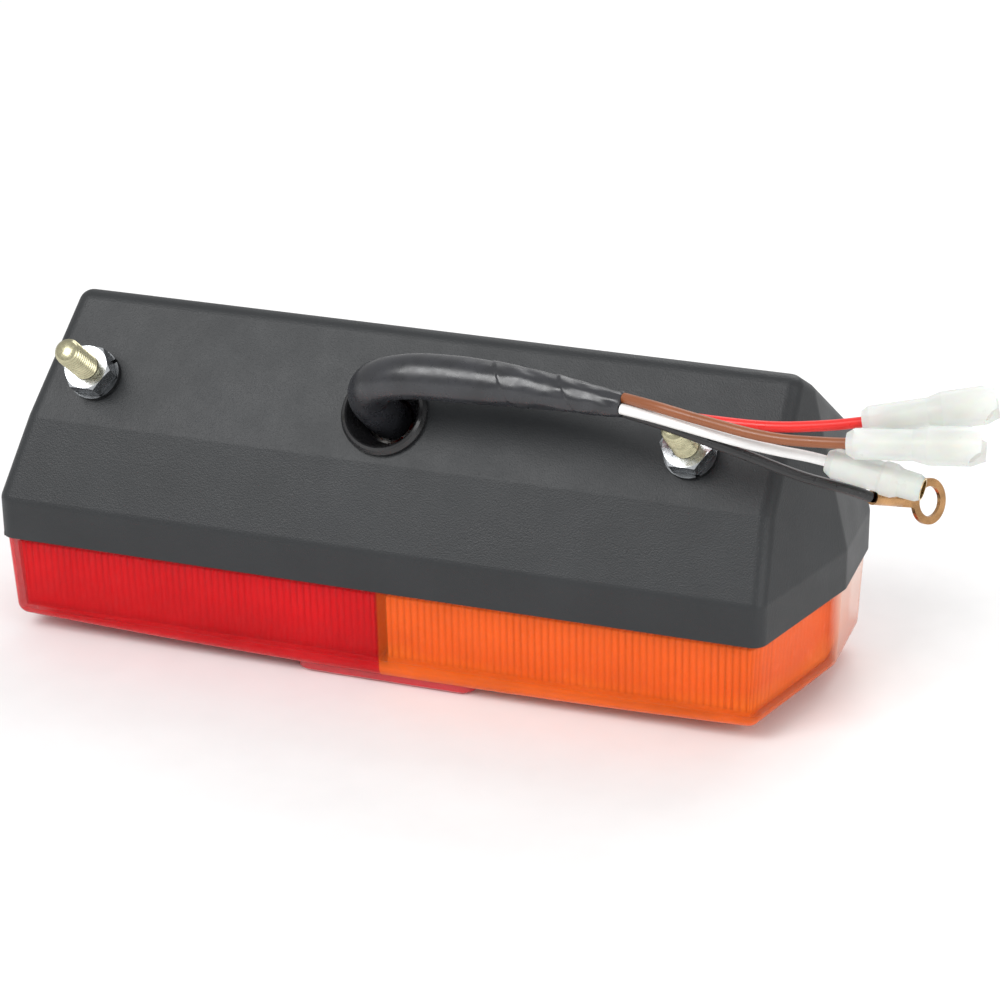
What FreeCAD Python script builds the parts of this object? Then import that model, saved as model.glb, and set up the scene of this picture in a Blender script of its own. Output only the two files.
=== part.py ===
"""Trailer tail light: black back housing with two mounting studs, a red and an
amber lens, a reflex reflector, two bayonet bulbs and a four-wire lead.

Millimetres.  X runs along the lamp, towards its amber end.  Y runs across it, away
from the mounting face.  Z points from the lens front up to the ridge of the housing.
The origin is at the middle of the box, on the plane of the reflector's front.
"""
import FreeCAD, Part
import math
import os

V = FreeCAD.Vector

# ---- driving dimensions ---------------------------------------------------------
LENGTH = 190.0
WIDTH = 58.5
LENS_FRONT = 2.1          # middle of the lens front above the reflector's front
RIM_LOW = 24.5            # line where the lens meets the housing
RIM_TOP = 34.0
CREASE_Y, CREASE_Z = -19.75, 51.3     # lower edge of the mounting face
RIDGE_Y, RIDGE_Z = 1.25, 76.3         # upper edge of the mounting face
FACE_ANGLE = math.radians(50)         # mounting face against the lens plane
END_LEAN = 0.235          # how far both ends lean in per mm of height above the rim
CHAMFER_X, CHAMFER_Y = 10.5, 33.8     # slanted near corner at the amber end
WALL = 2.5
EDGE_ROUND = 3.5
CAVITY_ROUND = 0.8

LENS_STEP = 0.8           # lens wall set in from the housing's rim
LENS_WALL = 2.2
LENS_DRAFT = 0.04
LENS_CROWN = 2.0          # rise of the lens front at both ends
LENS_ROUND = 3.0
SPLIT_X = -3.0            # joint between the red and the amber lens
END_WALL = 1.2
LIP_TOP = 27.4
LIP_OUT, LIP_IN = 2.8, 4.3
FLANGE_LOW = 22.3

REFLECTOR_X, REFLECTOR_Y = 43.0, 51.5
REFLECTOR_ROUND = 4.0

SEAL_OUT, SEAL_IN, SEAL_HEIGHT = 0.9, 1.9, 1.0

STUD_X = (-76.0, 64.0)
STUD_SLOPE = 11.3         # studs and cable hole, up the mounting face from its lower edge
STUD_R = 3.0
STUD_FREE = 11.5          # thread left over above the nut
STUD_TIP_R = 2.35
NUT_FLATS, NUT_HEIGHT = 10.0, 5.0
NUT_BORE_R = 3.05
WASHER_OUT_R, WASHER_IN_R, WASHER_HEIGHT = 5.9, 3.2, 1.6
WASHER_SLIT = 0.9
STUD_HEAD, STUD_HEAD_HEIGHT = 10.0, 2.5
STUD_HOLE_R = 3.1

GROMMET_X = -6.0
GROMMET_R = 9.85
GROMMET_HEIGHT = 2.4
GROMMET_GROOVE_R = 7.9
GROMMET_MOUTH_R = 7.8
GROMMET_THROAT_R = 5.4
GROMMET_DEPTH = 6.0

SCREW_POSTS = ((-87.3, -21.3), (-87.3, 21.3), (76.5, -21.8), (87.3, 21.3))
POST_R = 3.6
LENS_SCREW_R = 1.5
LENS_SCREW_HEAD_R, LENS_SCREW_HEAD = 3.0, 2.0
LENS_SCREW_SEAT = 10.2
LENS_SCREW_END = 37.0

PLATE_Z, PLATE_THICK = 50.0, 1.0
PLATE_X = (-76.0, 71.0)
PLATE_Y = (-13.5, 22.5)
PILLARS = ((-68.0, 4.0), (63.0, 4.0))
PILLAR_R = 3.6
PLATE_SCREW_R, PLATE_SCREW_HEAD_R = 1.3, 2.7
PLATE_SCREW_HEAD, PLATE_SCREW_LENGTH = 1.8, 9.0
PARTITION_THICK = 1.6

BULB_Y, BULB_Z = 2.0, 34.0
BRACKET_HALF = 13.0
TAIL_MOUTH_X, TURN_MOUTH_X = -30.6, 25.6
SHELL_R, SHELL_BORE, SHELL_LENGTH = 8.5, 7.75, 21.4
SHELL_FLOOR = 0.8
FLANGE_HALF, SHELL_FLANGE = 12.5, 0.6
CAP_R, CAP_LENGTH = 7.5, 13.5
PIN_R, PIN_REACH, PIN_DEPTH = 1.0, 8.9, 6.5
BULB_PUSH = 2.0
BULB_TURN = 20.0
GLASS_R, GLASS_LENGTH, GLASS_WALL = 12.5, 32.5, 0.7
CARRIER_R, CARRIER_THICK = 7.3, 1.4
SPRING_R, SPRING_WIRE_R, SPRING_TURNS = 5.0, 0.4, 4
RIVET_R = 1.1
RIVET_REACH = 9.9

WIRE_R = 1.15
SLEEVE_R = 4.5
SLEEVE_END_R = 3.1
COVER_R, COVER_BORE, COVER_MOUTH_R = 3.2, 2.35, 4.0
RECEPTACLE_R, RECEPTACLE_BORE = 2.3, 2.0

# Routes of the lead, in the mounting face's own frame: along X, up the slope from the
# face's lower edge, and height above the face.
SLEEVE_ROUTE = [(-5.6, 11.3, -6.4), (-9.2, 12.2, 4.0), (-6.3, 14.6, 12.2), (2.6, 16.2, 15.6),
                (13.5, 16.8, 15.5), (25.5, 16.8, 16.2), (39.0, 15.9, 17.7), (52.6, 14.6, 19.5)]
WIRE_ROUTES = {
    "white": [(52.7, 13.4, 20.7), (59.4, 12.4, 21.6), (66.6, 11.0, 22.7), (73.7, 9.8, 23.0),
              (81.1, 8.8, 22.9), (88.2, 8.2, 22.6), (93.2, 8.0, 22.5),
              (98.0, 7.5, 22.35), (102.6, 6.8, 22.2)],
    "brown": [(52.9, 15.8, 20.7), (60.0, 14.1, 23.8), (67.4, 12.6, 24.8), (74.8, 11.1, 26.3),
              (82.0, 9.8, 27.4), (89.0, 9.1, 28.2), (95.2, 9.3, 28.7),
              (101.4, 9.7, 28.9), (107.4, 10.3, 29.0)],
    "red": [(53.2, 15.8, 18.3), (59.4, 14.7, 18.7), (66.2, 13.7, 19.5), (73.1, 13.5, 20.0),
            (79.9, 13.5, 20.2), (86.7, 13.9, 20.3), (94.0, 15.1, 20.2),
            (101.1, 16.6, 20.1), (107.7, 18.5, 20.0)],
    "black": [(53.0, 13.4, 18.3), (59.3, 12.2, 19.1), (66.7, 10.3, 20.3), (74.1, 8.6, 20.1),
              (80.7, 7.4, 19.2), (86.9, 6.0, 18.2), (92.9, 4.8, 17.3), (98.5, 4.3, 16.4),
              (102.8, 4.3, 14.2), (105.9, 4.2, 10.9)],
}
COVER_LENGTHS = {"red": 27.5, "brown": 27.5, "white": 20.5}
RING_HOLE_R, RING_R, RING_THICK = 3.2, 4.9, 0.9
RING_DIRECTION = (0.53, 0.785, -0.323)
RING_SIDE = (-0.04, 0.40, 0.91)
RING_CENTRE = 17.8
BARREL_R, BARREL_BORE, BARREL_LENGTH = 1.6, 1.1, 9.0

HALF_L, HALF_W = LENGTH / 2, WIDTH / 2
CHAMFER_START = HALF_L - CHAMFER_X


# ---- frames and small helpers ---------------------------------------------------
UP_SLOPE = V(0, math.cos(FACE_ANGLE), math.sin(FACE_ANGLE))
FACE_NORMAL = V(0, -math.sin(FACE_ANGLE), math.cos(FACE_ANGLE))
X_AXIS = V(1, 0, 0)
Z_AXIS = V(0, 0, 1)


def on_face(x, slope, height):
    """A point given in the mounting face's frame."""
    return V(x, CREASE_Y, CREASE_Z) + UP_SLOPE * slope + FACE_NORMAL * height


def export(name, solids):
    """One STEP file per node; a group of equal pieces is a compound."""
    shape = solids[0] if len(solids) == 1 else Part.makeCompound(solids)
    shape.exportStep("parts/%s.step" % name)
    print("%-26s solids %2d  valid %s  volume %9.1f" % (
        name, len(shape.Solids), shape.isValid(), shape.Volume))


def fuse(shapes):
    body = shapes[0].fuse(shapes[1:]) if len(shapes) > 1 else shapes[0]
    return body.removeSplitter()


def rod(radius, start, end):
    """Round bar between two points."""
    return Part.makeCylinder(radius, (end - start).Length, start, end - start)


def tube(outer, inner, start, end):
    return rod(outer, start, end).cut(rod(inner, start, end))


def box(x0, x1, y0, y1, z0, z1):
    return Part.makeBox(x1 - x0, y1 - y0, z1 - z0, V(x0, y0, z0))


def frame_at(origin, axis, side):
    """Placement whose Z is axis and whose X is as near to side as it can be."""
    w = V(axis).normalize()
    u = (side - w * side.dot(w)).normalize()
    v = w.cross(u)
    m = FreeCAD.Matrix(u.x, v.x, w.x, origin.x, u.y, v.y, w.y, origin.y,
                       u.z, v.z, w.z, origin.z, 0, 0, 0, 1)
    return FreeCAD.Placement(m)


def placed(shape, placement):
    copy = shape.copy()
    copy.Placement = placement.multiply(copy.Placement)
    return copy


def turned(profile):
    """Solid of revolution about Z from (radius, z) pairs."""
    wire = Part.makePolygon([V(r, 0, z) for r, z in profile + profile[:1]])
    return Part.Face(wire).revolve(V(0, 0, 0), Z_AXIS, 360)


def trim(shape, point, normal, inset):
    """Cut away what lies beyond a plane, once the plane is moved inwards by inset."""
    n = V(*normal).normalize()
    reach = 3 * LENGTH
    slab = Part.makeBox(reach, reach, reach, V(-reach / 2, -reach / 2, 0))
    slab.Placement = FreeCAD.Placement(V(*point) - n * inset, FreeCAD.Rotation(Z_AXIS, n))
    return shape.cut(slab)


def rounded(shape, radius, keep_sharp_z):
    """Round every edge except those that lie in one horizontal plane."""
    edges = [e for e in shape.Edges
             if any(abs(v.Z - keep_sharp_z) > 0.05 for v in e.Vertexes)]
    return shape.makeFillet(radius, edges)


# ---- outer forms shared by the housing and the lens -------------------------------
def plan_block(inset, low, high, draft=0.0):
    """Block with the lamp's outline; its walls draw in downwards by draft per mm."""
    block = box(-HALF_L - 5, HALF_L + 5, -HALF_W - 5, HALF_W + 5, low, high)
    corner = (CHAMFER_START, -HALF_W, RIM_LOW)
    sides = [((-HALF_L, 0, RIM_LOW), (-1, 0)), ((HALF_L, 0, RIM_LOW), (1, 0)),
             ((0, -HALF_W, RIM_LOW), (0, -1)), ((0, HALF_W, RIM_LOW), (0, 1)),
             (corner, (CHAMFER_Y / math.hypot(CHAMFER_X, CHAMFER_Y),
                       -CHAMFER_X / math.hypot(CHAMFER_X, CHAMFER_Y)))]
    for point, (nx, ny) in sides:
        block = trim(block, point, (nx, ny, -draft), inset)
    return block


def housing_block(inset, low):
    """The housing's outer form, or with an inset its cavity."""
    block = plan_block(inset, low, RIDGE_Z + 5)
    slope = (0, -(CREASE_Z - RIM_TOP), CREASE_Y + HALF_W)
    block = trim(block, (0, -HALF_W, RIM_TOP), slope, inset)
    block = trim(block, (0, CREASE_Y, CREASE_Z), FACE_NORMAL, inset)
    block = trim(block, (0, RIDGE_Y, RIDGE_Z), UP_SLOPE, inset)
    for side in (-1, 1):
        block = trim(block, (side * HALF_L, 0, RIM_TOP), (side, 0, END_LEAN), inset)
    leaning_chamfer = (CHAMFER_Y, -CHAMFER_X, CHAMFER_Y * END_LEAN)
    return trim(block, (CHAMFER_START, -HALF_W, RIM_TOP), leaning_chamfer, inset)


# ---- housing ----------------------------------------------------------------------
def seal_ring():
    top = RIM_LOW + SEAL_HEIGHT
    return plan_block(SEAL_OUT, RIM_LOW, top).cut(plan_block(SEAL_IN, RIM_LOW, top))


def housing():
    outer = rounded(housing_block(0, RIM_LOW), EDGE_ROUND, RIM_LOW)
    cavity = rounded(housing_block(WALL, RIM_LOW - 1), CAVITY_ROUND, RIM_LOW - 1)
    shell = outer.cut(cavity)
    inside = housing_block(WALL / 2, RIM_LOW)
    bosses = [rod(POST_R, V(x, y, LIP_TOP + 0.2), V(x, y, RIDGE_Z)) for x, y in SCREW_POSTS]
    pillars = [rod(PILLAR_R, V(x, y, PLATE_Z + PLATE_THICK), V(x, y, RIDGE_Z)) for x, y in PILLARS]
    shell = shell.fuse([b.common(inside) for b in bosses + pillars])
    for x, y in SCREW_POSTS:
        shell = shell.cut(rod(LENS_SCREW_R + 0.1, V(x, y, LIP_TOP), V(x, y, LENS_SCREW_END + 1)))
    for x, y in PILLARS:
        base = PLATE_Z + PLATE_THICK
        shell = shell.cut(rod(PLATE_SCREW_R + 0.1, V(x, y, base - 1), V(x, y, base + PLATE_SCREW_LENGTH)))
    for x in STUD_X:
        shell = shell.cut(rod(STUD_HOLE_R, on_face(x, STUD_SLOPE, -8), on_face(x, STUD_SLOPE, 5)))
    shell = shell.cut(rod(GROMMET_GROOVE_R, on_face(GROMMET_X, STUD_SLOPE, -8),
                          on_face(GROMMET_X, STUD_SLOPE, 5)))
    return shell.cut(seal_ring()).removeSplitter()


# ---- mounting hardware --------------------------------------------------------------
def stud(x):
    """Square-headed stud: the head sits inside, the thread stands out of the face."""
    tip = WASHER_HEIGHT + NUT_HEIGHT + STUD_FREE
    nut_top = WASHER_HEIGHT + NUT_HEIGHT + 0.4
    chamfer = STUD_R - STUD_TIP_R
    shank = turned([(0, tip), (STUD_TIP_R, tip), (STUD_R, tip - chamfer), (STUD_R, nut_top),
                    (STUD_R, -WALL), (0, -WALL)])
    half = STUD_HEAD / 2
    head = box(-half, half, -half, half, -WALL - STUD_HEAD_HEIGHT, -WALL)
    return placed(shank.fuse(head), frame_at(on_face(x, STUD_SLOPE, 0), FACE_NORMAL, X_AXIS))


def nut(x):
    """Hexagon nut, chamfered on both faces."""
    corner_r = NUT_FLATS / math.sqrt(3)
    ring = [V(corner_r * math.cos(math.radians(60 * k)), corner_r * math.sin(math.radians(60 * k)), 0)
            for k in range(7)]
    prism = Part.Face(Part.makePolygon(ring)).extrude(V(0, 0, NUT_HEIGHT))
    flat_r = NUT_FLATS / 2
    drop = (corner_r + 0.2 - flat_r) * math.tan(math.radians(30))
    envelope = turned([(0, 0), (flat_r, 0), (corner_r + 0.2, drop), (corner_r + 0.2, NUT_HEIGHT - drop),
                       (flat_r, NUT_HEIGHT), (0, NUT_HEIGHT)])
    bore = Part.makeCylinder(NUT_BORE_R, NUT_HEIGHT)
    body = prism.common(envelope).cut(bore)
    return placed(body, frame_at(on_face(x, STUD_SLOPE, WASHER_HEIGHT), FACE_NORMAL, X_AXIS))


def lock_washer(x, slit_angle):
    """Split spring washer under the nut."""
    ring = tube(WASHER_OUT_R, WASHER_IN_R, V(0, 0, 0), V(0, 0, WASHER_HEIGHT))
    slit = box(0, WASHER_OUT_R + 1, -WASHER_SLIT / 2, WASHER_SLIT / 2, -1, WASHER_HEIGHT + 1)
    slit.rotate(V(0, 0, 0), Z_AXIS, slit_angle)
    return placed(ring.cut(slit), frame_at(on_face(x, STUD_SLOPE, 0), FACE_NORMAL, X_AXIS))


def grommet():
    """Rubber grommet with a round lip, a groove for the wall and a funnel inside."""
    lip = GROMMET_HEIGHT
    profile = [(GROMMET_R, 0), (GROMMET_R, lip * 0.45), (GROMMET_R - 0.6, lip * 0.85), (GROMMET_R - 1.2, lip),
               (GROMMET_MOUTH_R + 0.5, lip * 0.9), (GROMMET_MOUTH_R, lip * 0.5),
               (GROMMET_THROAT_R, -GROMMET_DEPTH + 1.5), (GROMMET_THROAT_R, -GROMMET_DEPTH),
               (GROMMET_GROOVE_R + 1.0, -WALL - 1.6), (GROMMET_GROOVE_R + 1.0, -WALL),
               (GROMMET_GROOVE_R, -WALL), (GROMMET_GROOVE_R, 0)]
    return placed(turned(profile), frame_at(on_face(GROMMET_X, STUD_SLOPE, 0), FACE_NORMAL, X_AXIS))


# ---- lens and reflector -------------------------------------------------------------
def crown(radius_less):
    """Large drum whose low side is the crowned lens front."""
    radius = (HALF_L ** 2) / (2 * LENS_CROWN)
    return Part.makeCylinder(radius - radius_less, WIDTH + 20, V(0, -HALF_W - 10, radius + LENS_FRONT),
                             V(0, 1, 0))


def lens_outer():
    block = plan_block(LENS_STEP, LENS_FRONT - 1, RIM_LOW, LENS_DRAFT).common(crown(0))
    return rounded(block, LENS_ROUND, RIM_LOW)


def lens_cavity():
    wall = LENS_STEP + LENS_WALL
    low = plan_block(wall, LENS_FRONT, FLANGE_LOW, LENS_DRAFT).common(crown(LENS_WALL))
    high = plan_block(LIP_IN, FLANGE_LOW - 1, LIP_TOP + 1)
    return low.fuse(high)


def lens_half(outer, cavity, side):
    """side is -1 for the red lens and 1 for the amber one."""
    far = side * (HALF_L + 10)
    half = box(min(SPLIT_X, far), max(SPLIT_X, far), -WIDTH, WIDTH, 0, LIP_TOP + 2)
    wall_face = SPLIT_X + side * END_WALL
    room = box(min(wall_face, far), max(wall_face, far), -WIDTH, WIDTH, 0, LIP_TOP + 2)
    lip = plan_block(LIP_OUT, RIM_LOW, LIP_TOP)
    solid = outer.fuse(lip).common(half).cut(cavity.common(room))
    posts = [p for p in SCREW_POSTS if p[0] * side > 0]
    for x, y in posts:
        post = rod(POST_R, V(x, y, LENS_FRONT), V(x, y, LIP_TOP)).common(outer.fuse(lip))
        solid = solid.fuse(post)
    for x, y in posts:
        solid = solid.cut(rod(LENS_SCREW_R + 0.2, V(x, y, 0), V(x, y, LIP_TOP + 1)))
        solid = solid.cut(rod(LENS_SCREW_HEAD_R + 0.2, V(x, y, 0), V(x, y, LENS_SCREW_SEAT)))
    return solid.removeSplitter()


def reflex_reflector(outer):
    """Rounded block that stands proud of the lens front."""
    x, y = REFLECTOR_X / 2, REFLECTOR_Y / 2
    block = box(SPLIT_X - x, SPLIT_X + x, -y, y, 0, LENS_FRONT + 1)
    upright = [e for e in block.Edges if abs(e.Vertexes[0].Z - e.Vertexes[-1].Z) > 1]
    block = block.makeFillet(REFLECTOR_ROUND, upright)
    block = block.makeChamfer(0.8, [e for e in block.Edges if all(v.Z < 0.01 for v in e.Vertexes)])
    return block.cut(outer)


def lens_screws():
    """Pan-head screws that hold the lens to the housing's bosses."""
    screws = []
    for x, y in SCREW_POSTS:
        seat = LENS_SCREW_SEAT
        shank = rod(LENS_SCREW_R, V(x, y, seat), V(x, y, LENS_SCREW_END))
        head = rod(LENS_SCREW_HEAD_R, V(x, y, seat - LENS_SCREW_HEAD), V(x, y, seat))
        for wide, deep in ((1.8, 0.3), (0.3, 1.8)):
            head = head.cut(box(x - wide, x + wide, y - deep, y + deep, 0, seat - LENS_SCREW_HEAD + 0.9))
        screws.append(fuse([shank, head]))
    return screws


# ---- bulb plate ---------------------------------------------------------------------
def bracket(mouth_x, side):
    """Tab folded down from the plate, with the socket's hole; side points to the plate."""
    face = mouth_x + side * SHELL_FLANGE
    x0, x1 = sorted((face, face + side * PLATE_THICK))
    tab = box(x0, x1, BULB_Y - BRACKET_HALF, BULB_Y + BRACKET_HALF, BULB_Z - BRACKET_HALF, PLATE_Z + 0.5)
    return tab.cut(rod(SHELL_R + 0.05, V(x0 - 1, BULB_Y, BULB_Z), V(x1 + 1, BULB_Y, BULB_Z)))


def rivet_places(mouth_x):
    return [V(mouth_x, BULB_Y + sy * RIVET_REACH, BULB_Z + sz * RIVET_REACH) for sy, sz in ((1, -1), (-1, 1))]


def bulb_plate():
    plate = box(PLATE_X[0], PLATE_X[1], PLATE_Y[0], PLATE_Y[1], PLATE_Z, PLATE_Z + PLATE_THICK)
    tabs = [bracket(TAIL_MOUTH_X, 1), bracket(TURN_MOUTH_X, -1)]
    for mouth_x, side in ((TAIL_MOUTH_X, 1), (TURN_MOUTH_X, -1)):
        for place in rivet_places(mouth_x):
            tabs = [t.cut(rod(RIVET_R + 0.02, place - X_AXIS * 3, place + X_AXIS * 3)) for t in tabs]
    plate = fuse([plate] + tabs)
    for x, y in PILLARS:
        plate = plate.cut(rod(PLATE_SCREW_R + 0.3, V(x, y, PLATE_Z - 1), V(x, y, PLATE_Z + 2)))
    slot = box(-9.5, 4.0, -7.0, 6.0, PLATE_Z - 1, PLATE_Z + 2)
    return plate.cut(slot)


def plate_screws():
    screws = []
    for x, y in PILLARS:
        head = rod(PLATE_SCREW_HEAD_R, V(x, y, PLATE_Z - PLATE_SCREW_HEAD), V(x, y, PLATE_Z))
        head = head.cut(box(x - 1.6, x + 1.6, y - 0.3, y + 0.3, 0, PLATE_Z - PLATE_SCREW_HEAD + 0.8))
        shank = rod(PLATE_SCREW_R, V(x, y, PLATE_Z), V(x, y, PLATE_Z + PLATE_SCREW_LENGTH))
        screws.append(fuse([head, shank]))
    return screws


def partition():
    """Divider that keeps the red and the amber light apart."""
    half = PARTITION_THICK / 2
    sheet = box(SPLIT_X - half, SPLIT_X + half, -21.5, 21.5, LIP_TOP + 0.3, PLATE_Z)
    return sheet.common(housing_block(WALL + 0.4, RIM_LOW))


# ---- bulb holders, built along Z from the mouth inwards --------------------------------
def socket_shell():
    """Bayonet shell with a flange at its mouth, two hooked slots and a holed floor."""
    shell = tube(SHELL_R, SHELL_BORE, V(0, 0, 0), V(0, 0, SHELL_LENGTH))
    half = FLANGE_HALF
    flange = box(-half, half, -half, half, 0, SHELL_FLANGE)
    flange = flange.cut(Part.makeCylinder(SHELL_BORE, SHELL_FLANGE))
    for sx in (-1, 1):
        for sy in (-1, 1):
            flange = flange.cut(Part.makeCylinder(RIVET_R + 0.02, SHELL_FLANGE,
                                                  V(sx * RIVET_REACH, sy * RIVET_REACH, 0)))
    floor = tube(SHELL_R, 3.5, V(0, 0, SHELL_LENGTH - SHELL_FLOOR), V(0, 0, SHELL_LENGTH))
    shell = fuse([shell, flange, floor])
    side_room, top_room = 8.0, PIN_R + 0.15
    for start in (0, 180):
        low, high = PIN_DEPTH - top_room, PIN_DEPTH + BULB_PUSH + top_room
        hook = Part.makeCylinder(SHELL_R + 1, high - low, V(0, 0, low), Z_AXIS, BULB_TURN + 2 * side_room)
        hook.rotate(V(0, 0, 0), Z_AXIS, start - side_room)
        entry = Part.makeCylinder(SHELL_R + 1, high + 1, V(0, 0, -1), Z_AXIS, 2 * side_room)
        entry.rotate(V(0, 0, 0), Z_AXIS, start + BULB_TURN - side_room)
        bore = Part.makeCylinder(SHELL_BORE - 0.5, high + 1, V(0, 0, -1))
        shell = shell.cut(hook.cut(bore)).cut(entry.cut(bore))
    return shell


def bulb_cap(contact_offsets):
    """Metal cap with two bayonet pins and its solder contacts."""
    cap = Part.makeCylinder(CAP_R, CAP_LENGTH + 1, V(0, 0, -1))
    pins = rod(PIN_R, V(-PIN_REACH, 0, PIN_DEPTH), V(PIN_REACH, 0, PIN_DEPTH))
    dots = [Part.makeCylinder(1.5, 0.5, V(0, y, CAP_LENGTH)) for y in contact_offsets]
    return fuse([cap, pins] + dots)


def bulb_glass():
    """Hollow pear-shaped envelope standing out of the cap."""
    def skin(inner):
        tip, neck, belly = -GLASS_LENGTH + inner, CAP_R - 0.8 - inner, GLASS_R - inner
        arc_top = V(0, 0, tip)
        centre_z = tip + belly
        arc = Part.Arc(arc_top, V(belly * math.sin(math.radians(45)), 0, centre_z - belly * math.cos(
            math.radians(45))), V(belly, 0, centre_z))
        waist = Part.Arc(V(belly, 0, centre_z), V((belly + neck) / 2 + 1.0, 0, centre_z + 7.5),
                         V(neck, 0, -4.0))
        edges = [arc.toShape(), waist.toShape(), Part.makeLine(V(neck, 0, -4.0), V(neck, 0, -1.0 - inner)),
                 Part.makeLine(V(neck, 0, -1.0 - inner), V(0, 0, -1.0 - inner)),
                 Part.makeLine(V(0, 0, -1.0 - inner), arc_top)]
        return Part.Face(Part.Wire(edges)).revolve(V(0, 0, 0), Z_AXIS, 360)
    return skin(0).cut(skin(GLASS_WALL))


def bulb_filament(levels):
    """Support wires and one coil per level, inside the glass."""
    parts = [Part.makeCylinder(2.6, 5.0, V(0, 0, -6.7))]
    for z in levels:
        coil = rod(0.45, V(-3.2, 0, z), V(3.2, 0, z))
        posts = [rod(0.35, V(sx * 2.0, 0, -6.0), V(sx * 3.0, 0, z)) for sx in (-1, 1)]
        parts += [coil] + posts
    return fuse(parts)


def contact_carrier(pads):
    """Insulating disc with a contact pad facing each solder contact."""
    low = CAP_LENGTH + 0.5
    disc = Part.makeCylinder(CARRIER_R, CARRIER_THICK, V(0, 0, low))
    stems = [Part.makeCylinder(0.8, 2.2, V(0, y, low + CARRIER_THICK)) for y in pads]
    return fuse([disc] + stems)


def contact_spring():
    """Compression spring between the carrier and the socket's floor."""
    low = CAP_LENGTH + 0.5 + CARRIER_THICK + SPRING_WIRE_R
    high = SHELL_LENGTH - SHELL_FLOOR - SPRING_WIRE_R
    helix = Part.makeHelix((high - low) / SPRING_TURNS, high - low, SPRING_R, 0, True)
    ring = Part.makeCircle(SPRING_WIRE_R, V(SPRING_R, 0, 0), V(0, 1, 0))
    coil = Part.Wire(helix.Edges).makePipeShell([Part.Wire([ring])], True, True)
    coil.translate(V(0, 0, low))
    return coil


def rivets():
    """Hollow rivets that clamp the sockets' flanges to the brackets."""
    group = []
    for mouth_x, side in ((TAIL_MOUTH_X, 1), (TURN_MOUTH_X, -1)):
        inwards = X_AXIS * side
        grip = SHELL_FLANGE + PLATE_THICK
        for place in rivet_places(mouth_x):
            shank = rod(RIVET_R, place, place + inwards * grip)
            heads = [rod(1.9, place - inwards * 0.6, place),
                     rod(1.8, place + inwards * grip, place + inwards * (grip + 0.5))]
            group.append(fuse([shank] + heads))
    return group


# ---- wires --------------------------------------------------------------------------
def smooth_route(points):
    """Straight runs joined by tangent arcs, each as large as its two runs allow."""
    runs = [(b - a) for a, b in zip(points, points[1:])]
    edges, radii = [], []
    at = points[0]
    for before, after, corner in zip(runs, runs[1:], points[1:]):
        d0, d1 = V(before).normalize(), V(after).normalize()
        turn = d0.getAngle(d1)
        reach = 0.45 * min(before.Length, after.Length)
        radius = reach / math.tan(turn / 2)
        start, end = corner - d0 * reach, corner + d1 * reach
        inward = (d1 - d0).normalize()
        middle = corner + inward * (radius / math.cos(turn / 2) - radius)
        edges.append(Part.LineSegment(at, start).toShape())
        edges.append(Part.Arc(start, middle, end).toShape())
        radii.append(radius)
        at = end
    edges.append(Part.LineSegment(at, points[-1]).toShape())
    return Part.Wire(edges), radii


def cord(name, points, radius):
    path, radii = smooth_route(points)
    direction = points[1] - points[0]
    section = Part.Wire([Part.makeCircle(radius, points[0], direction)])
    solid = path.makePipeShell([section], True, False)
    ideal = math.pi * radius ** 2 * path.Length
    print("   %s: length %.1f, radii %s, volume ratio %.4f" % (
        name, path.Length, ["%.0f" % r for r in radii], solid.Volume / ideal))
    return solid


def cable_sleeve():
    """PVC sleeve: full size to the taped end, which draws in around the four wires."""
    points = [on_face(*p) for p in SLEEVE_ROUTE]
    body = cord("cable_sleeve", points[:-1], SLEEVE_R)
    direction = points[-2] - points[-3]
    start, end = points[-2], points[-1]
    big = Part.Wire([Part.makeCircle(SLEEVE_R, start, direction)])
    small = Part.Wire([Part.makeCircle(SLEEVE_END_R, end, end - start)])
    return body, Part.makeLoft([big, small], True)


def route_of(colour):
    return [on_face(*p) for p in WIRE_ROUTES[colour]]


def end_frame(colour):
    """Placement at a wire's far end, with Z along the wire."""
    points = route_of(colour)
    return frame_at(points[-1], points[-1] - points[-2], FACE_NORMAL)


def bullet_cover(colour):
    """Soft translucent sleeve over a bullet terminal, with a flared, notched mouth."""
    length, back = COVER_LENGTHS[colour], -4.5
    front = back + length
    flare = front - 14.0
    outer = turned([(0, back), (COVER_R - 0.9, back), (COVER_R, back + 1.6), (COVER_R, flare),
                    (COVER_MOUTH_R, flare + 3.0), (COVER_MOUTH_R, front), (0, front)])
    inner = turned([(0, back - 1), (WIRE_R + 0.1, back - 1), (WIRE_R + 0.1, -0.5), (COVER_BORE, 0.5),
                    (COVER_BORE, flare), (COVER_MOUTH_R - 0.8, flare + 3.0),
                    (COVER_MOUTH_R - 0.8, front + 1), (0, front + 1)])
    notch = Part.makeCylinder(3.4, 20, V(0, -10, front + 0.4), V(0, 1, 0))
    return placed(outer.cut(inner).cut(notch), end_frame(colour))


def receptacle_cover():
    """Straight cover with a collar, over the female bullet receptacle."""
    back, front = -4.5, COVER_LENGTHS["white"] - 4.5
    outer = turned([(0, back), (COVER_R - 0.9, back), (COVER_R, back + 1.6), (COVER_R, 7.0),
                    (COVER_R + 0.35, 7.6), (COVER_R + 0.35, 9.8), (COVER_R - 0.25, 11.2),
                    (COVER_R - 0.35, front - 1.2), (COVER_R - 0.9, front), (0, front)])
    inner = turned([(0, back - 1), (WIRE_R + 0.1, back - 1), (WIRE_R + 0.1, -0.5), (COVER_BORE, 0.5),
                    (COVER_BORE, front + 1), (0, front + 1)])
    return placed(outer.cut(inner), end_frame("white"))


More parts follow.
